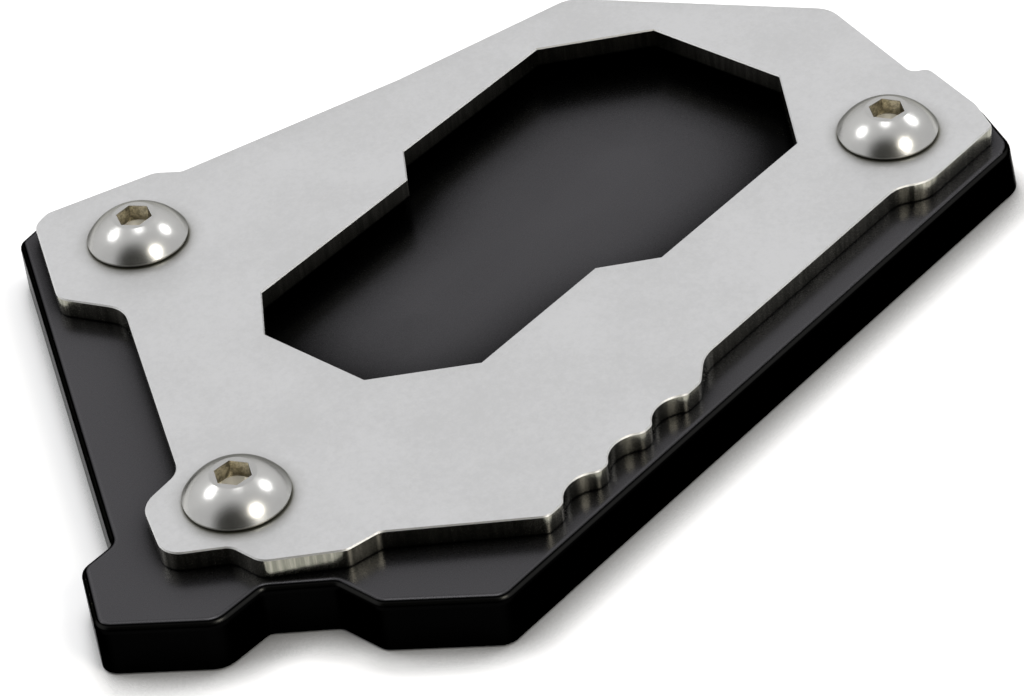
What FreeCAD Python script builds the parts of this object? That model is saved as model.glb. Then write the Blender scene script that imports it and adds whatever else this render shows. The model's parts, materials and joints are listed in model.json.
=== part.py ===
import FreeCAD, Part
import math
import os
from FreeCAD import Vector

# Kickstand foot enlarger. A black base plate stands on the ground, and a thinner clamp plate
# screwed on top of it holds the side stand's foot in the opening between them.
# The origin is on the underside, below the middle of that opening. X runs along the opening,
# from its narrow heel end to its toe end, Y runs to the far side and Z is up. Sizes are in millimetres.

# Opening round the stand's foot
opening_length = 57.0
opening_width = 31.0
heel_step_far = 3.3        # the heel end is narrower, by this much on its far side
heel_step_near = 4.1       # and by this much on its near side
neck_x = -0.3              # where the opening reaches its full width
neck_run_far = 3.3         # length along X over which it widens
neck_run_near = 4.5
toe_cut_far = (8.7, 7.8)   # corner cuts, along X and along Y
toe_cut_near = (7.9, 7.9)
heel_cut_far = (4.4, 4.4)
heel_cut_near = (7.5, 7.2)

# Plates
clamp_thickness = 2.0
base_thickness = 5.4
pocket_depth = 2.0
pocket_clearance = 0.5     # the pocket in the base plate is this much larger all round than the opening
cutter_radius = 2.0        # inside corners of the milled pocket
front_rim = 14.0           # from the opening to the clamp plate's front edge
front_recess = 2.0         # depth of the long recess in that edge
recess_run = 3.1           # length along X over which the recess comes in from the scallops
base_front_rim = 2.0       # the base plate reaches this far past the front edge
base_far_rim = 1.6         # and this far past the clamp plate on the far side
clamp_edge_break = 0.12
base_top_round = 0.8
base_bottom_break = 0.2
toe_wall_lean = 10.0       # degrees by which the base plate's wall leans in at the right corner
toe_wall_rounds = (3.0, 2.0)  # radius of the edges at that wall's two ends

# Scallops in the front edge
scallop_count = 3
scallop_pitch = 6.1
scallop_radius = 3.0
scallop_depth = 1.15
scallop_start_x = -17.2    # middle of the scallop nearest to the recess
scallop_land = 4.5         # front edge left between the last scallop's middle and each end
crest_radius = 1.0

# Button head socket screws
thread_diameter = 5.0
screw_length = 6.0         # under the head
head_diameter = 9.5
head_height = 2.6
head_rim = 0.38            # height of the rim under the dome
head_rim_break = 0.2       # taken off the rim's foot
head_flat_diameter = 4.2
socket_width = 3.0         # across flats
socket_depth = 1.6
drill_point_angle = 120.0
tip_break = 0.5
thread_clearance = 0.05    # all round, between a screw and its tapped hole
hole_clearance = 0.25      # all round, between a screw and its hole in the clamp plate
hole_break = 0.3           # countersink under the tapped holes

# Sides of the rectangle round the opening, from which everything else is placed
right = opening_length / 2
left = -right
far = opening_width / 2
near = -far
front_edge = near - front_rim
recess_edge = front_edge + front_recess
base_front_edge = front_edge - base_front_rim
scallop_end_x = scallop_start_x - (scallop_count - 1) * scallop_pitch

clamp_bottom = base_thickness
clamp_top = clamp_bottom + clamp_thickness

# Place of each screw, and the turn of its socket in degrees
screws = {
    "screw_left": (left + 4.3, far + 12.3, 0.0),
    "screw_front": (left - 18.0, near + 10.1, 54.0),
    "screw_right": (right - 2.0, near - 6.2, 50.0),
}

# Every outline is a list of corners (x, y, corner radius), anticlockwise seen from above
opening = [
    (right, far - toe_cut_far[1], 0),
    (right - toe_cut_far[0], far, 0),
    (neck_x, far, 0),
    (neck_x - neck_run_far, far - heel_step_far, 0),
    (left + heel_cut_far[0], far - heel_step_far, 0),
    (left, far - heel_step_far - heel_cut_far[1], 0),
    (left, near + heel_step_near + heel_cut_near[1], 0),
    (left + heel_cut_near[0], near + heel_step_near, 0),
    (neck_x - neck_run_near, near + heel_step_near, 0),
    (neck_x, near, 0),
    (right - toe_cut_near[0], near, 0),
    (right, near + toe_cut_near[1], 0),
]

# Clamp plate, from the left lobe round the front lobe, along the front edge and round the right lobe
clamp_near_side = [
    (left - 6.6, far + 12.2, 2.0),
    (left - 4.3, far + 5.9, 3.0),
    (left - 18.4, near + 16.7, 2.5),
    (left - 23.4, near + 16.3, 3.0),
    (left - 27.2, near + 10.2, 2.2),
    (left - 23.15, near + 6.1, 1.5),
    (left - 23.15, near + 2.7, 2.0),
    (left - 18.0, near - 2.5, 1.5),
    (left - 14.7, near - 3.3, 1.5),
    (scallop_end_x - scallop_land, front_edge, 1.0),
    (scallop_start_x + scallop_land, front_edge, 1.5),
    (scallop_start_x + scallop_land + recess_run, recess_edge, 4.0),
    (right - 8.8, recess_edge, 3.0),
    (right - 6.6, front_edge, 3.5),
    (right + 3.9, front_edge, 0.8),
    (right + 6.1, near - 10.6, 1.2),
    (right + 8.65, near - 3.4, 1.0),
    (right + 7.25, near - 2.5, 1.0),
]

# Clamp plate, round the toe end and along the far side back to the left lobe
clamp_far_side = [
    (right + 12.1, near + 10.6, 3.0),
    (right, far + 3.0, 3.0),
    (left + 37.0, far + 8.4, 0),
    (left + 14.3, far + 16.2, 1.0),
    (left + 12.8, far + 18.3, 2.0),
    (left + 2.4, far + 22.6, 1.5),
    (left + 0.4, far + 22.2, 2.0),
]

# Base plate, from the left corner round the notch and along the near side to the right corner
base_near_side = [
    (left - 0.5, far + 23.9, 1.0),
    (left - 27.0, near + 17.05, 1.2),
    (left - 30.75, near + 17.05, 1.4),
    (left - 35.6, near + 10.5, 1.6),
    (left - 29.3, near + 2.2, 2.5),
    (left - 24.0, near + 2.0, 1.0),
    (left - 20.1, near - 2.7, 1.0),
    (left - 20.1, near - 7.5, 1.5),
    (left - 13.7, base_front_edge, 2.0),
    (right + 5.6, base_front_edge, 0),
    (right + 8.1, near - 11.7, 0),
    (right + 8.8, near - 3.1, 2.0),
]


def flat_point(x, y, *rest):
    return Vector(x, y, 0)


def directions(corners, index):
    """Unit vectors along the sides that come into and go out of a corner."""
    corner = flat_point(*corners[index])
    coming = corner - flat_point(*corners[index - 1])
    going = flat_point(*corners[(index + 1) % len(corners)]) - corner
    return coming.normalize(), going.normalize()


def turn_at(corners, index):
    """First, middle and last point of the arc that rounds a corner."""
    corner = flat_point(*corners[index])
    radius = corners[index][2]
    if radius == 0:
        return corner, corner, corner
    coming, going = directions(corners, index)
    half_angle = (-coming).getAngle(going) / 2
    reach = radius / math.tan(half_angle)
    inward = (going - coming).normalize()
    middle = corner + inward * (radius / math.sin(half_angle) - radius)
    return corner - coming * reach, middle, corner + going * reach


def outline_wire(corners):
    """Closed wire of straight sides and tangent corner arcs."""
    turns = [turn_at(corners, index) for index in range(len(corners))]
    edges = []
    for index, (first, middle, last) in enumerate(turns):
        edges.append(Part.makeLine(turns[index - 1][2], first))
        if corners[index][2] > 0:
            edges.append(Part.Arc(first, middle, last).toShape())
    return Part.Wire(edges)


def moved_out(corners, distance):
    """The same corners with every side moved out by a distance."""
    moved = []
    for index, (x, y, radius) in enumerate(corners):
        coming, going = directions(corners, index)
        out_coming = Vector(coming.y, -coming.x, 0)
        out_going = Vector(going.y, -going.x, 0)
        out = (out_coming + out_going).normalize()
        place = flat_point(x, y) + out * (distance / out.dot(out_coming))
        moved.append((place.x, place.y, radius))
    return moved


def plate(corners, bottom, thickness):
    solid = Part.Face(outline_wire(corners)).extrude(Vector(0, 0, thickness))
    solid.translate(Vector(0, 0, bottom))
    return solid


def edges_at(solid, height):
    return [edge for edge in solid.Edges if all(abs(end.Z - height) < 1e-6 for end in edge.Vertexes)]


def upright_edges(solid, places):
    """Edges that stand upright on any of the places (x, y)."""
    found = []
    for edge in solid.Edges:
        for x, y in places:
            if all(math.hypot(end.X - x, end.Y - y) < 1e-4 for end in edge.Vertexes):
                found.append(edge)
    return found


def clamp_plate():
    """Sheet metal plate with the opening, the scallops and three clearance holes."""
    solid = scalloped(plate(clamp_near_side + clamp_far_side, clamp_bottom, clamp_thickness))
    solid = solid.cut(plate(opening, clamp_bottom, clamp_thickness))
    solid = solid.makeChamfer(clamp_edge_break, edges_at(solid, clamp_top))
    radius = thread_diameter / 2 + hole_clearance
    for x, y, turn in screws.values():
        solid = solid.cut(Part.makeCylinder(radius, clamp_thickness, Vector(x, y, clamp_bottom)))
    return solid


def scalloped(solid):
    """Cuts the row of scallops into the front edge and rounds the crests between them."""
    centre_y = front_edge + scallop_depth - scallop_radius
    half_chord = math.sqrt(scallop_radius ** 2 - (scallop_radius - scallop_depth) ** 2)
    crests = []
    for index in range(scallop_count):
        x = scallop_start_x - index * scallop_pitch
        cutter = Part.makeCylinder(scallop_radius, clamp_thickness, Vector(x, centre_y, clamp_bottom))
        solid = solid.cut(cutter)
        crests += [(x - half_chord, front_edge), (x + half_chord, front_edge)]
    return solid.makeFillet(crest_radius, upright_edges(solid, crests))


def base_plate():
    """Milled plate with the pocket under the opening and three tapped holes."""
    far_side = moved_out(clamp_near_side + clamp_far_side, base_far_rim)[len(clamp_near_side):]
    solid = plate(base_near_side + far_side[:-1], 0, base_thickness)
    toe_wall = base_near_side[-3:-1]
    solid = solid.cut(outside_of_leaning_wall(*toe_wall))
    for (x, y, sharp), radius in zip(toe_wall, toe_wall_rounds):
        solid = solid.makeFillet(radius, edges_rising_from(solid, x, y))
    solid = solid.makeChamfer(base_bottom_break, edges_at(solid, 0))
    solid = solid.makeFillet(base_top_round, edges_at(solid, base_thickness))
    pocket = [(x, y, cutter_radius) for x, y, radius in moved_out(opening, pocket_clearance)]
    solid = solid.cut(plate(pocket, base_thickness - pocket_depth, pocket_depth))
    radius = thread_diameter / 2 + thread_clearance
    for x, y, turn in screws.values():
        solid = solid.cut(Part.makeCylinder(radius, base_thickness, Vector(x, y, 0)))
        solid = solid.cut(Part.makeCone(radius + hole_break, radius, hole_break, Vector(x, y, 0)))
    return solid


def edges_rising_from(solid, x, y):
    """Edges that go up, upright or leaning, from a corner of the underside."""
    foot = Vector(x, y, 0)
    found = []
    for edge in solid.Edges:
        ends = sorted((end.Point for end in edge.Vertexes), key=lambda point: point.z)
        if ends[0].distanceToPoint(foot) < 1e-4 and ends[-1].z > base_thickness / 2:
            found.append(edge)
    return found


def outside_of_leaning_wall(start, end):
    """Block outside the wall between two corners, its face leaning in from the underside up."""
    foot = flat_point(*start)
    along = flat_point(*end) - foot
    length = 4 * along.Length
    depth = 2 * base_thickness
    block = Part.makeBox(length, depth, depth, Vector(-length / 2, -depth, 0))
    block.rotate(Vector(0, 0, 0), Vector(1, 0, 0), -toe_wall_lean)
    block.rotate(Vector(0, 0, 0), Vector(0, 0, 1), math.degrees(math.atan2(along.y, along.x)))
    block.translate(foot)
    return block


def screw(x, y, turn):
    """Button head screw, its head resting on the clamp plate and its tip inside the base plate."""
    solid = Part.Face(screw_profile()).revolve(Vector(0, 0, 0), Vector(0, 0, 1), 360)
    solid = solid.cut(socket())
    solid.rotate(Vector(0, 0, 0), Vector(0, 0, 1), turn)
    solid.translate(Vector(x, y, clamp_top))
    return solid


def screw_profile():
    """Half section of the screw in the XZ plane, the bearing face of its head at height 0."""
    shank_radius = thread_diameter / 2
    head_radius = head_diameter / 2
    rim_top = Vector(head_radius, 0, head_rim)
    flat_edge = Vector(head_flat_diameter / 2, 0, head_height)
    points = [
        flat_edge,
        Vector(0, 0, head_height),
        Vector(0, 0, -screw_length),
        Vector(shank_radius - tip_break, 0, -screw_length),
        Vector(shank_radius, 0, tip_break - screw_length),
        Vector(shank_radius, 0, 0),
        Vector(head_radius - head_rim_break, 0, 0),
        Vector(head_radius, 0, head_rim_break),
        rim_top,
    ]
    edges = [Part.makeLine(start, end) for start, end in zip(points, points[1:])]
    # The dome is part of a sphere, centred on the axis, through the rim and the edge of the flat
    centre = (flat_edge.dot(flat_edge) - rim_top.dot(rim_top)) / (2 * (flat_edge.z - rim_top.z))
    middle = (rim_top + flat_edge) / 2 - Vector(0, 0, centre)
    middle = Vector(0, 0, centre) + middle.normalize() * math.hypot(head_radius, head_rim - centre)
    edges.append(Part.Arc(rim_top, middle, flat_edge).toShape())
    return Part.Wire(edges)


def socket():
    """Hexagon socket with a drilled point at its bottom."""
    floor = head_height - socket_depth
    ring = []
    for corner in range(7):
        angle = math.radians(60 * corner)
        ring.append(Vector(math.cos(angle), math.sin(angle), 0) * (socket_width / math.sqrt(3)))
    hexagon = Part.Face(Part.makePolygon(ring)).extrude(Vector(0, 0, socket_depth))
    hexagon.translate(Vector(0, 0, floor))
    drill_radius = socket_width / 2
    point_depth = drill_radius / math.tan(math.radians(drill_point_angle / 2))
    return hexagon.fuse(Part.makeCone(0, drill_radius, point_depth, Vector(0, 0, floor - point_depth)))


os.makedirs("parts", exist_ok=True)
nodes = {"base_plate": base_plate(), "clamp_plate": clamp_plate()}
for name, place in screws.items():
    nodes[name] = screw(*place)
for name, solid in nodes.items():
    solid.exportStep("parts/" + name + ".step")
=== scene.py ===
import json
import math

import bpy
from mathutils import Matrix, Vector


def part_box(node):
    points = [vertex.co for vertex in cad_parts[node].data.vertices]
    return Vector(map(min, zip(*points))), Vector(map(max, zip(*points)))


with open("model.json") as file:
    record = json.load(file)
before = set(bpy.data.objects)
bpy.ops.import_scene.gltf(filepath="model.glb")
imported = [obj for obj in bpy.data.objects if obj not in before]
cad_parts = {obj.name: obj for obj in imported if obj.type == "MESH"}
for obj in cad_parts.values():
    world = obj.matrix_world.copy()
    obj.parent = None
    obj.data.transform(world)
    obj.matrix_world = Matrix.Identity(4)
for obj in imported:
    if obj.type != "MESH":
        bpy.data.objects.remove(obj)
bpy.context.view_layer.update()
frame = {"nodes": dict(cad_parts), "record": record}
MM = 0.001
WHITE = (1.0, 1.0, 1.0)

# Places of the sockets that share a name on Blender's Mix node
COLOUR_A = 6
COLOUR_B = 7
COLOUR_RESULT = 2
NUMBER_A = 2
NUMBER_B = 3
NUMBER_RESULT = 0

# Rays that look for a neighbour at each point of an ambient occlusion node
OPENNESS_SAMPLES = 4
POCKET_SAMPLES = 10

# Heights that the looks depend on, read from the solids, in millimetres
BASE_TOP_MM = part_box("base_plate")[1].z / MM
CLAMP_TOP_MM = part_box("clamp_plate")[1].z / MM
SCREW_TOP_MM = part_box("screw_left")[1].z / MM

# Camera of the photograph
LENS_MM = 136.2
SENSOR_MM = 36.0
CAMERA_TARGET = Vector((-17.98, -12.47, 7.4)) * MM
CAMERA_DISTANCE = 343.2 * MM
CAMERA_AZIMUTH = -136.214     # degrees from +X, seen from above
CAMERA_ELEVATION = 38.170
CAMERA_ROLL = -6.955
CAMERA_CLIP = (0.01, 10.0)

# Side that the light comes from, for shadows in the materials: azimuth and elevation in degrees
SHADOW_LIGHT = (62.0, 38.0)

# Soft boxes: name, azimuth and elevation in degrees, diameter, brightness, colour
LAMP_DISTANCE = 0.9
LAMPS = (
    ("softbox_far_left", 115.0, 46.0, 0.25, 6.0, WHITE),
    ("softbox_right", -19.0, 42.0, 0.25, 6.0, WHITE),
    ("softbox_above", 44.0, 81.0, 0.24, 3.0, WHITE),
    ("softbox_near", -92.0, 43.0, 0.35, 7.0, (1.0, 0.95, 0.84)),
)


def direction(azimuth, elevation):
    """Unit vector towards an azimuth and elevation in degrees."""
    a = math.radians(azimuth)
    e = math.radians(elevation)
    return Vector((math.cos(a) * math.cos(e), math.sin(a) * math.cos(e), math.sin(e)))


# Node helpers

def new_material(name):
    """A material with its node tree and its Principled shader."""
    material = bpy.data.materials.new(name)
    material.use_nodes = True
    tree = material.node_tree
    shader = tree.nodes["Principled BSDF"]
    return material, tree, shader


def add(tree, kind, inputs=None, **settings):
    """A node of that kind, with its settings, and its inputs set or linked."""
    node = tree.nodes.new(kind)
    for key, value in settings.items():
        setattr(node, key, value)
    for key, value in (inputs or {}).items():
        if isinstance(value, bpy.types.NodeSocket):
            tree.links.new(value, node.inputs[key])
        else:
            node.inputs[key].default_value = value
    return node


def maths(tree, operation, first, second=0.0, clamp=False):
    """Result of a sum, a product, a comparison or the like of two numbers."""
    node = add(tree, "ShaderNodeMath", {0: first, 1: second}, operation=operation, use_clamp=clamp)
    return node.outputs[0]


def stepped(tree, value, low, high):
    """0 where value is below low, 1 above high, smooth between."""
    inputs = {"Value": value, "From Min": low, "From Max": high}
    return add(tree, "ShaderNodeMapRange", inputs, interpolation_type="SMOOTHSTEP").outputs["Result"]


def mixed(tree, factor, first, second):
    """A colour between two colours."""
    node = add(tree, "ShaderNodeMix", {"Factor": factor}, data_type="RGBA")
    for place, value in ((COLOUR_A, first), (COLOUR_B, second)):
        if isinstance(value, bpy.types.NodeSocket):
            tree.links.new(value, node.inputs[place])
        else:
            node.inputs[place].default_value = (*value, 1.0)
    return node.outputs[COLOUR_RESULT]


def mixed_number(tree, factor, first, second):
    """A number between two numbers."""
    inputs = {"Factor": factor, NUMBER_A: first, NUMBER_B: second}
    return add(tree, "ShaderNodeMix", inputs, data_type="FLOAT").outputs[NUMBER_RESULT]


def places(tree, stretch=(1.0, 1.0, 1.0)):
    """Coordinates on the object, in millimetres, optionally stretched."""
    coordinates = add(tree, "ShaderNodeTexCoord").outputs["Object"]
    scale = tuple(s / MM for s in stretch)
    node = add(tree, "ShaderNodeMapping", {"Vector": coordinates, "Scale": scale})
    return node.outputs["Vector"]


def noise(tree, size_mm, detail, roughness, stretch=(1.0, 1.0, 1.0)):
    """Noise whose features are about size_mm across."""
    inputs = {
        "Vector": places(tree, stretch),
        "Scale": 1.0 / size_mm,
        "Detail": detail,
        "Roughness": roughness,
    }
    return add(tree, "ShaderNodeTexNoise", inputs).outputs["Fac"]


def upness(tree):
    """How far a face looks up or down: 0 on an upright wall, 1 on a level face."""
    normal = add(tree, "ShaderNodeNewGeometry").outputs["Normal"]
    z = add(tree, "ShaderNodeSeparateXYZ", {"Vector": normal}).outputs["Z"]
    return maths(tree, "ABSOLUTE", z)


def height(tree):
    """Height above the ground, in millimetres."""
    return add(tree, "ShaderNodeSeparateXYZ", {"Vector": places(tree)}).outputs["Z"]


def between(tree, value, limits, colours):
    """The first colour where value is below the limits, the second above them."""
    return mixed(tree, stepped(tree, value, *limits), *colours)


def openness(tree, reach_mm, facing_side=None, samples=OPENNESS_SAMPLES):
    """1 on an open face, less beside a wall or a head that rises within reach_mm on the side faced."""
    inputs = {"Distance": reach_mm * MM}
    if facing_side:
        side = add(tree, "ShaderNodeCombineXYZ", dict(zip("XYZ", facing_side)))
        inputs["Normal"] = side.outputs["Vector"]
    return add(tree, "ShaderNodeAmbientOcclusion", inputs, samples=samples).outputs["AO"]


def bump(tree, shader, value, depth_mm):
    """Relief of that depth. It changes how light falls, not the shape."""
    node = add(tree, "ShaderNodeBump", {"Height": value, "Distance": depth_mm * MM, "Strength": 1.0})
    tree.links.new(node.outputs["Normal"], shader.inputs["Normal"])


def finish_metal(tree, shader, colour, roughness):
    """Bare metal of that colour and roughness."""
    tree.links.new(colour, shader.inputs["Base Color"])
    tree.links.new(roughness, shader.inputs["Roughness"])
    shader.inputs["Metallic"].default_value = 1.0


# In the values of the materials, noise is its size in millimetres, its detail and its roughness. TONES are
# the two colours that a surface varies between, and LIMITS are where one look passes into the next.
# GRAZING is the tint of a metal seen at a shallow angle.

# Clamp plate: bead-blasted steel

STEEL_CLOUD = (9.0, 2.0, 0.55)
STEEL_GRAIN = (0.55, 4.0, 0.7)
STEEL_CLOUD_SHARE = 0.45
STEEL_GRAIN_SHARE = 0.55
STEEL_GRAIN_DEPTH_MM = 0.010
STEEL_TONES = ((0.640, 0.640, 0.638), (0.700, 0.700, 0.700))
STEEL_TONE_LIMITS = (0.35, 0.65)
STEEL_ROUGHNESS = (0.40, 0.50)
STEEL_LEVEL_LIMITS = (0.2, 0.5)

HEAD_SHADE = (0.20, 0.195, 0.165)       # all round the foot of a screw's head
HEAD_SHADE_MM = 1.6
HEAD_SHADE_LIMITS = (0.50, 0.92)
HEAD_SHADOW = (0.17, 0.165, 0.125)      # on the side of the head that is away from the light
HEAD_SHADOW_MM = 1.9                    # less than the clamp plate's thickness
HEAD_SHADOW_LIMITS = (0.30, 0.80)

EDGE_STREAKS = (0.5, 3.0, 0.6)
EDGE_STREAK_STRETCH = (1.0, 1.0, 0.06)
# cut edges: streaked steel, darker than the faces partly as painted shade
EDGE_TONES_AND_SHADE = ((0.20, 0.20, 0.165), (0.42, 0.41, 0.345))
EDGE_TONE_LIMITS = (0.35, 0.75)
EDGE_ROUGHNESS = 0.19
SEAM_SHADE = (0.01, 0.01, 0.01)               # painted shade: dark line where the clamp plate meets the base plate
SEAM_SHADE_MM = 0.25


def blasted_face(tree, grain):
    """Pale level faces, darker beside the screws' heads."""
    cloud_part = maths(tree, "MULTIPLY", noise(tree, *STEEL_CLOUD), STEEL_CLOUD_SHARE)
    grain_part = maths(tree, "MULTIPLY", grain, STEEL_GRAIN_SHARE)
    face = between(tree, maths(tree, "ADD", cloud_part, grain_part), STEEL_TONE_LIMITS, STEEL_TONES)
    face = between(tree, openness(tree, HEAD_SHADE_MM), HEAD_SHADE_LIMITS, (HEAD_SHADE, face))
    lit = openness(tree, HEAD_SHADOW_MM, direction(*SHADOW_LIGHT))
    return between(tree, lit, HEAD_SHADOW_LIMITS, (HEAD_SHADOW, face))


def cut_edge(tree):
    """Streaked cut edges of the sheet, darker than the faces partly as painted shade, with painted shade
    black at the seam.
    """
    streaks = noise(tree, *EDGE_STREAKS, stretch=EDGE_STREAK_STRETCH)
    edge = between(tree, streaks, EDGE_TONE_LIMITS, EDGE_TONES_AND_SHADE)
    return between(tree, height(tree), (BASE_TOP_MM, BASE_TOP_MM + SEAM_SHADE_MM), (SEAM_SHADE, edge))


def blasted_steel():
    """Pale bead-blasted sheet steel, with cut edges darkened partly as painted shade."""
    material, tree, shader = new_material("blasted_steel")
    level = stepped(tree, upness(tree), *STEEL_LEVEL_LIMITS)
    grain = noise(tree, *STEEL_GRAIN)
    colour = mixed(tree, level, cut_edge(tree), blasted_face(tree, grain))
    roughness = mixed_number(tree, level, EDGE_ROUGHNESS, mixed_number(tree, grain, *STEEL_ROUGHNESS))
    finish_metal(tree, shader, colour, roughness)
    bump(tree, shader, grain, STEEL_GRAIN_DEPTH_MM)
    return material


# Base plate: black anodised aluminium

BLACK_CLOUD = (14.0, 2.0, 0.55)
BLACK_GRAIN = (0.35, 3.0, 0.6)
BLACK_GRAIN_DEPTH_MM = 0.0008
BLACK_TONES = ((0.088, 0.086, 0.090), (0.100, 0.098, 0.103))
BLACK_ROUGHNESS = (0.24, 0.31)
BLACK_LEVEL_LIMITS = (0.88, 0.998)
BLACK_GRAZING = (0.25, 0.25, 0.25, 1.0)

WALL_SHADE = (0.010, 0.010, 0.010)      # on the level face beside a wall
WALL_SHADE_MM = 8.0
WALL_SHADE_LIMITS = (0.40, 0.94)
POCKET_SHADE = (0.012, 0.012, 0.012)    # in the corners of the pocket
POCKET_SHADE_MM = 14.0
POCKET_SHADE_LIMITS = (0.72, 1.0)
POCKET_BELOW_MM = 1.0                   # a face this far below the plate's top is in the pocket

# walls: black anodising, darker than the level faces as painted shade
WALL_TONES_AND_SHADE = ((0.0008, 0.0008, 0.0008), (0.0016, 0.0016, 0.0016))
WALL_ROUGHNESS = 0.24
EDGE_LINE_TONE = (0.018, 0.018, 0.017)            # lighter line along the middle of a rounded edge, less dark than the walls' painted shade, where the lamps' highlights fall
EDGE_LINE_BEGIN_LIMITS = (0.45, 0.62)
EDGE_LINE_END_LIMITS = (0.74, 0.86)


def milled_face(tree):
    """Satin level faces, darker beside the walls and in the corners of the pocket."""
    face = mixed(tree, noise(tree, *BLACK_CLOUD), *BLACK_TONES)
    face = between(tree, openness(tree, WALL_SHADE_MM), WALL_SHADE_LIMITS, (WALL_SHADE, face))
    outside = maths(tree, "GREATER_THAN", height(tree), BASE_TOP_MM - POCKET_BELOW_MM)
    open_floor = openness(tree, POCKET_SHADE_MM, samples=POCKET_SAMPLES)
    clear = maths(tree, "MAXIMUM", stepped(tree, open_floor, *POCKET_SHADE_LIMITS), outside)
    return mixed(tree, clear, POCKET_SHADE, face)


def milled_side(tree):
    """Nearly black walls, darker than the level faces as painted shade, with a lighter line along the
    middle of a rounded edge.
    """
    up = upness(tree)
    begun = stepped(tree, up, *EDGE_LINE_BEGIN_LIMITS)
    ended = stepped(tree, up, *EDGE_LINE_END_LIMITS)
    edge_line = maths(tree, "SUBTRACT", begun, ended, clamp=True)
    wall = mixed(tree, noise(tree, *BLACK_CLOUD), *WALL_TONES_AND_SHADE)
    return mixed(tree, edge_line, wall, EDGE_LINE_TONE)


def black_anodised():
    """Milled aluminium, anodised black: satin level faces, and walls darkened as painted shade."""
    material, tree, shader = new_material("black_anodised")
    level = stepped(tree, upness(tree), *BLACK_LEVEL_LIMITS)
    grain = noise(tree, *BLACK_GRAIN)
    colour = mixed(tree, level, milled_side(tree), milled_face(tree))
    roughness = mixed_number(tree, level, WALL_ROUGHNESS, mixed_number(tree, grain, *BLACK_ROUGHNESS))
    finish_metal(tree, shader, colour, roughness)
    shader.inputs["Specular Tint"].default_value = BLACK_GRAZING
    bump(tree, shader, grain, BLACK_GRAIN_DEPTH_MM)
    return material


# Screws: polished stainless steel

DOME_SMUDGE = (1.6, 3.0, 0.6)
DOME_TONES = ((0.50, 0.497, 0.480), (0.56, 0.557, 0.540))
DOME_ROUGHNESS = (0.20, 0.27)
DOME_RIPPLE = (0.4, 3.0, 0.6)
DOME_RIPPLE_DEPTH_MM = 0.002
DOME_GRAZING = (0.30, 0.30, 0.28, 1.0)
FOOT_SHADE = (0.12, 0.118, 0.105)             # painted shade: dark line round the foot of the head
FOOT_SHADE_MM = 0.45

SOCKET_REACH = 0.19                     # radius of its corners, as a share of the head's width
SOCKET_LIP_MM = 0.05                    # bright lip left at its top
SOCKET_SPECKLE = (0.45, 3.0, 0.7)
# socket walls: browner steel, lighter than the dome as painted light against the socket's own shade
SOCKET_TONES_AND_LIGHT = ((0.45, 0.42, 0.33), (0.95, 0.90, 0.77))
SOCKET_TONE_LIMITS = (0.35, 0.65)
SOCKET_FLOOR = (0.40, 0.37, 0.30)
SOCKET_FLOOR_LIMITS = (0.2, 0.5)
SOCKET_ROUGHNESS = 0.34
HEAD_AXIS = (0.5, 0.5, 0.0)             # middle of the head, as shares of its box
LEVEL_ONLY = (1.0, 1.0, 0.0)


def vector_maths(tree, operation, *vectors):
    """A node that works on vectors."""
    return add(tree, "ShaderNodeVectorMath", dict(enumerate(vectors)), operation=operation)


def in_socket(tree):
    """1 inside a screw's socket, 0 on the rest of the screw."""
    across = add(tree, "ShaderNodeTexCoord").outputs["Generated"]
    from_axis = vector_maths(tree, "SUBTRACT", across, HEAD_AXIS).outputs["Vector"]
    level = vector_maths(tree, "MULTIPLY", from_axis, LEVEL_ONLY).outputs["Vector"]
    radius = vector_maths(tree, "LENGTH", level).outputs["Value"]
    near_axis = maths(tree, "LESS_THAN", radius, SOCKET_REACH)
    below_top = maths(tree, "LESS_THAN", height(tree), SCREW_TOP_MM - SOCKET_LIP_MM)
    return maths(tree, "MULTIPLY", near_axis, below_top)


def dome_colour(tree, smudge):
    """Clean steel, with painted shade dark at the foot of the head."""
    dome = mixed(tree, smudge, *DOME_TONES)
    return between(tree, height(tree), (CLAMP_TOP_MM, CLAMP_TOP_MM + FOOT_SHADE_MM), (FOOT_SHADE, dome))


def socket_colour(tree):
    """Speckled brown walls, lighter as painted light against the socket's shade, and a plainer floor."""
    walls = between(tree, noise(tree, *SOCKET_SPECKLE), SOCKET_TONE_LIMITS, SOCKET_TONES_AND_LIGHT)
    return between(tree, upness(tree), SOCKET_FLOOR_LIMITS, (walls, SOCKET_FLOOR))


def polished_steel():
    """Polished stainless screws, duller and browner inside the sockets, and lighter there as painted
    light.
    """
    material, tree, shader = new_material("polished_steel")
    inside = in_socket(tree)
    smudge = noise(tree, *DOME_SMUDGE)
    colour = mixed(tree, inside, dome_colour(tree, smudge), socket_colour(tree))
    roughness = mixed_number(tree, inside, mixed_number(tree, smudge, *DOME_ROUGHNESS), SOCKET_ROUGHNESS)
    finish_metal(tree, shader, colour, roughness)
    shader.inputs["Specular Tint"].default_value = DOME_GRAZING
    bump(tree, shader, noise(tree, *DOME_RIPPLE), DOME_RIPPLE_DEPTH_MM)
    return material


# Floor

FLOOR_SIZE = 4.0
FLOOR_BELOW_MM = 0.02                   # keeps the floor clear of the underside
FLOOR_CLOUD = (60.0, 1.0, 0.55)
FLOOR_TONES = ((0.93, 0.93, 0.93), (0.95, 0.95, 0.95))
FLOOR_ROUGHNESS = 0.9
FLOOR_GLOW = 0.35                       # takes the open floor to white
SHADOW = (0.34, 0.34, 0.34)
SHADOW_REACH_MM = 4.4                   # width of the shadow that the object leaves on the floor
SHADOW_LIMITS = (0.35, 0.80)
CONTACT_REACH_MM = 1.5                  # width of the darker line all round the object's foot
CONTACT_LIMITS = (0.50, 0.90)
CONTACT_LEFT = 0.55                     # light left in that line


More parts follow.
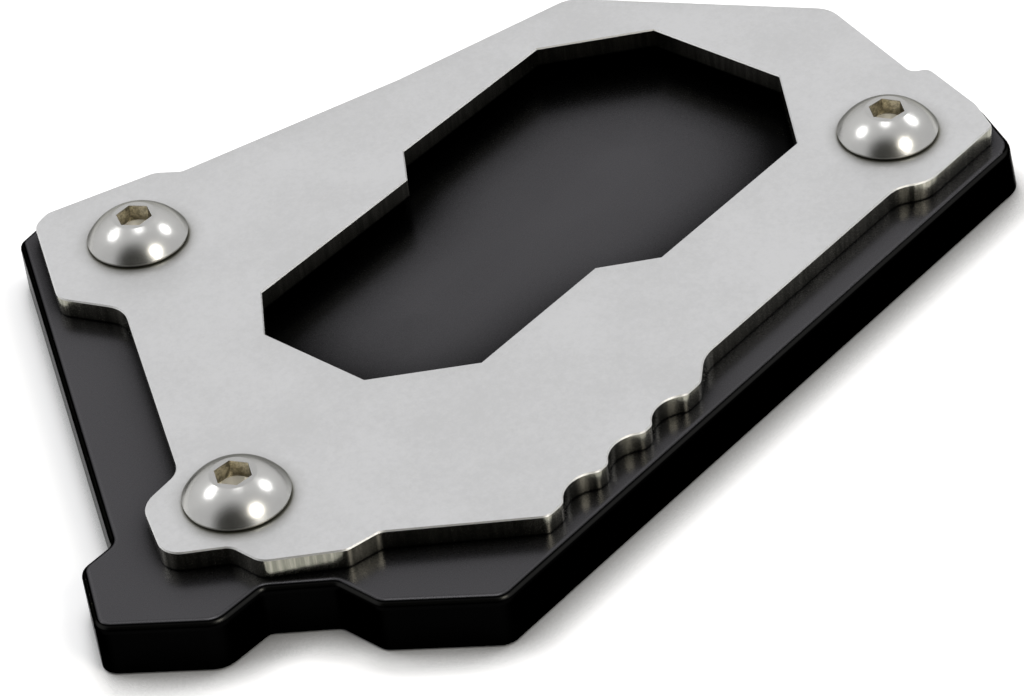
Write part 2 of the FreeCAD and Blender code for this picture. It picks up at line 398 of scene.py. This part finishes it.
def clear_of_object(tree):
    """0 in the object's shadow on the floor, 1 away from it."""
    cast = openness(tree, SHADOW_REACH_MM, direction(*SHADOW_LIGHT))
    cast = stepped(tree, cast, *SHADOW_LIMITS)
    contact = stepped(tree, openness(tree, CONTACT_REACH_MM), *CONTACT_LIMITS)
    return maths(tree, "MULTIPLY", cast, mixed_number(tree, contact, CONTACT_LEFT, 1.0))


def floor_glow(tree, clear):
    """Glow of the open floor, for the camera and for what metal and glass show."""
    path = add(tree, "ShaderNodeLightPath").outputs
    shown = maths(tree, "MAXIMUM", path["Is Camera Ray"], path["Is Glossy Ray"])
    shown = maths(tree, "MAXIMUM", shown, path["Is Transmission Ray"])
    return maths(tree, "MULTIPLY", maths(tree, "MULTIPLY", shown, clear), FLOOR_GLOW)


def pale_floor():
    """White floor that keeps the object's shadow."""
    material, tree, shader = new_material("pale_floor")
    shader.inputs["Roughness"].default_value = FLOOR_ROUGHNESS
    shader.inputs["Specular IOR Level"].default_value = 0.0
    white = mixed(tree, noise(tree, *FLOOR_CLOUD), *FLOOR_TONES)
    clear = clear_of_object(tree)
    tree.links.new(mixed(tree, clear, SHADOW, white), shader.inputs["Base Color"])
    shader.inputs["Emission Color"].default_value = (*WHITE, 1.0)
    tree.links.new(floor_glow(tree, clear), shader.inputs["Emission Strength"])
    return material


# Surroundings that the metal mirrors: azimuth and elevation in degrees, limits of the cosine of the
# angle from there, and colour. The dark figure stands behind the camera.

ROOM = (0.74, 0.74, 0.75)
BRIGHT_SIDE = ((CAMERA_AZIMUTH + 190.0, 20.0), (0.0, 0.95), (0.94, 0.94, 0.95))
DIM_GAP = ((CAMERA_AZIMUTH + 180.0, 54.0), (0.961, 0.99), (0.44, 0.44, 0.45))
DARK_FIGURE = ((CAMERA_AZIMUTH - 12.0, 30.0), (0.66, 0.95), (0.05, 0.05, 0.045))


def facing(tree, ray, azimuth, elevation):
    """Cosine of the angle between a ray and a direction."""
    return vector_maths(tree, "DOT_PRODUCT", ray, direction(azimuth, elevation)).outputs["Value"]


def surroundings():
    """A pale room with a bright far side, white to the camera itself."""
    world = bpy.context.scene.world or bpy.data.worlds.new("room")
    bpy.context.scene.world = world
    world.use_nodes = True
    tree = world.node_tree
    ray = add(tree, "ShaderNodeTexCoord").outputs["Generated"]
    room = ROOM
    for place, limits, colour in (BRIGHT_SIDE, DIM_GAP, DARK_FIGURE):
        room = between(tree, facing(tree, ray, *place), limits, (room, colour))
    path = add(tree, "ShaderNodeLightPath").outputs
    background = tree.nodes["Background"]
    tree.links.new(mixed(tree, path["Is Camera Ray"], room, WHITE), background.inputs["Color"])
    background.inputs["Strength"].default_value = 1.0


# Scene

def dress():
    """Each solid keeps its mesh and gets its finished material."""
    looks = {
        "black_anodised": black_anodised(),
        "blasted_steel": blasted_steel(),
        "polished_steel": polished_steel(),
    }
    for part in frame["record"]["subparts"]:
        mesh = frame["nodes"][part["node"]].data
        mesh.materials.clear()
        mesh.materials.append(looks[part["material_slot"]])


def floor():
    """The plane that the object stands on."""
    bpy.ops.mesh.primitive_plane_add(size=FLOOR_SIZE, location=(0, 0, -FLOOR_BELOW_MM * MM))
    plane = bpy.context.object
    plane.name = "floor"
    plane.data.materials.append(pale_floor())


def lamps():
    """Round soft boxes, turned to the object. A lamp's power is its brightness times pi times its area."""
    for name, azimuth, elevation, diameter, brightness, colour in LAMPS:
        light = bpy.data.lights.new(name, "AREA")
        light.shape = "DISK"
        light.size = diameter
        light.color = colour
        area = math.pi * (diameter / 2) ** 2
        light.energy = brightness * area * math.pi
        lamp = bpy.data.objects.new(name, light)
        bpy.context.scene.collection.objects.link(lamp)
        away = direction(azimuth, elevation)
        lamp.location = CAMERA_TARGET + away * LAMP_DISTANCE
        lamp.rotation_mode = "QUATERNION"
        lamp.rotation_quaternion = away.to_track_quat("Z", "Y")


def camera():
    """Camera at the photograph's place."""
    data = bpy.data.cameras.new("camera")
    data.lens = LENS_MM
    data.sensor_width = SENSOR_MM
    data.clip_start, data.clip_end = CAMERA_CLIP
    eye = bpy.data.objects.new("camera", data)
    bpy.context.scene.collection.objects.link(eye)
    away = direction(CAMERA_AZIMUTH, CAMERA_ELEVATION)
    roll = Matrix.Rotation(math.radians(CAMERA_ROLL), 4, "Z")
    turn = away.to_track_quat("Z", "Y").to_matrix().to_4x4()
    eye.matrix_world = Matrix.Translation(CAMERA_TARGET + away * CAMERA_DISTANCE) @ turn @ roll
    bpy.context.scene.camera = eye


dress()
floor()
surroundings()
lamps()
camera()
bpy.context.scene.view_settings.view_transform = "Standard"
